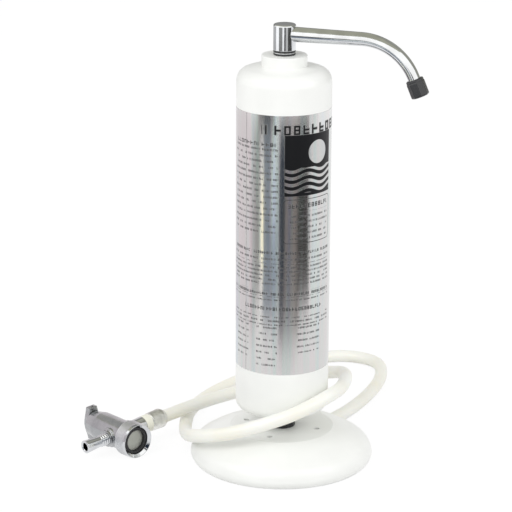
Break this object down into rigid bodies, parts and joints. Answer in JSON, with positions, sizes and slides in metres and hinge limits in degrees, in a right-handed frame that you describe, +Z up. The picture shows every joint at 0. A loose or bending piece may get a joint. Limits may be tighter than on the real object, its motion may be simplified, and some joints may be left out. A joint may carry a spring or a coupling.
{
  "type": "countertop water filter",
  "caption": "Countertop water filter: upright cylindrical canister on a round domed base, swivel spout with nozzle, and a hose to a tap diverter valve.",
  "frame": {"origin": "centre of the base's foot ring, on the plane of the table it stands on", "axes": "+Z up along the canister, +X to the right of somebody facing the filter, on the spout's side, +Y away from them"},
  "size_m": [0.2791, 0.3178, 0.3641],
  "materials": {
    "white_plastic": "smooth moulded, glossy",
    "black_plastic": "smooth, half matt",
    "chrome": "polished plating",
    "satin_metal": "knurled, satin",
    "steel": "plain spring steel",
    "foil": "printed metallised foil, satin",
    "hose_plastic": "smooth soft plastic",
    "rubber": "smooth, matt",
    "carbon": "granules",
    "metal_granules": "granules",
    "fibre": "felted fibre"
  },
  "bodies": {
    "filter": {"base": "white_plastic", "platform_nut": "black_plastic", "under_nut": "black_plastic", "inlet_elbow": "white_plastic", "elbow_nut": "white_plastic", "hose": "hose_plastic", "bottom_cap": "white_plastic", "canister_tube": "white_plastic", "top_cap": "white_plastic", "label": "foil", "lower_pad": "fibre", "metal_bed": "metal_granules", "divider_pad": "fibre", "carbon_bed": "carbon", "upper_pad": "fibre", "pivot": "white_plastic", "pivot_seal": "rubber", "retaining_ring": "steel", "post_bushing": "black_plastic", "valve_body": "chrome", "swivel_clip": "steel", "swivel_washer": "rubber", "mesh_screen": "steel", "valve_gland": "black_plastic", "outlet_tube": "chrome", "hose_tail": "chrome", "hose_sleeve": "white_plastic", "hose_nut": "satin_metal"},
    "spout": {"spout_post": "chrome", "spout_tube": "chrome", "nozzle": "black_plastic"},
    "tap_nut": {"swivel_nut": "chrome"},
    "lever": {"lever": "chrome", "valve_spindle": "white_plastic", "spindle_seal": "rubber", "lever_screw": "steel"}
  },
  "joints": [
    {"name": "spout_swivel", "type": "hinge", "parent": "filter", "child": "spout", "pos_m": [0, 0, 0.3397], "axis": [0, 0, 1], "continuous": true},
    {"name": "tap_nut_turn", "type": "hinge", "parent": "filter", "child": "tap_nut", "pos_m": [-0.1183, -0.0074, 0.0147], "axis": [0.682, -0.7314, 0], "continuous": true},
    {"name": "lever_turn", "type": "hinge", "parent": "filter", "child": "lever", "pos_m": [-0.1183, -0.0074, 0.0147], "axis": [0.682, -0.7314, 0], "range_deg": [0, 90]}
  ]
}
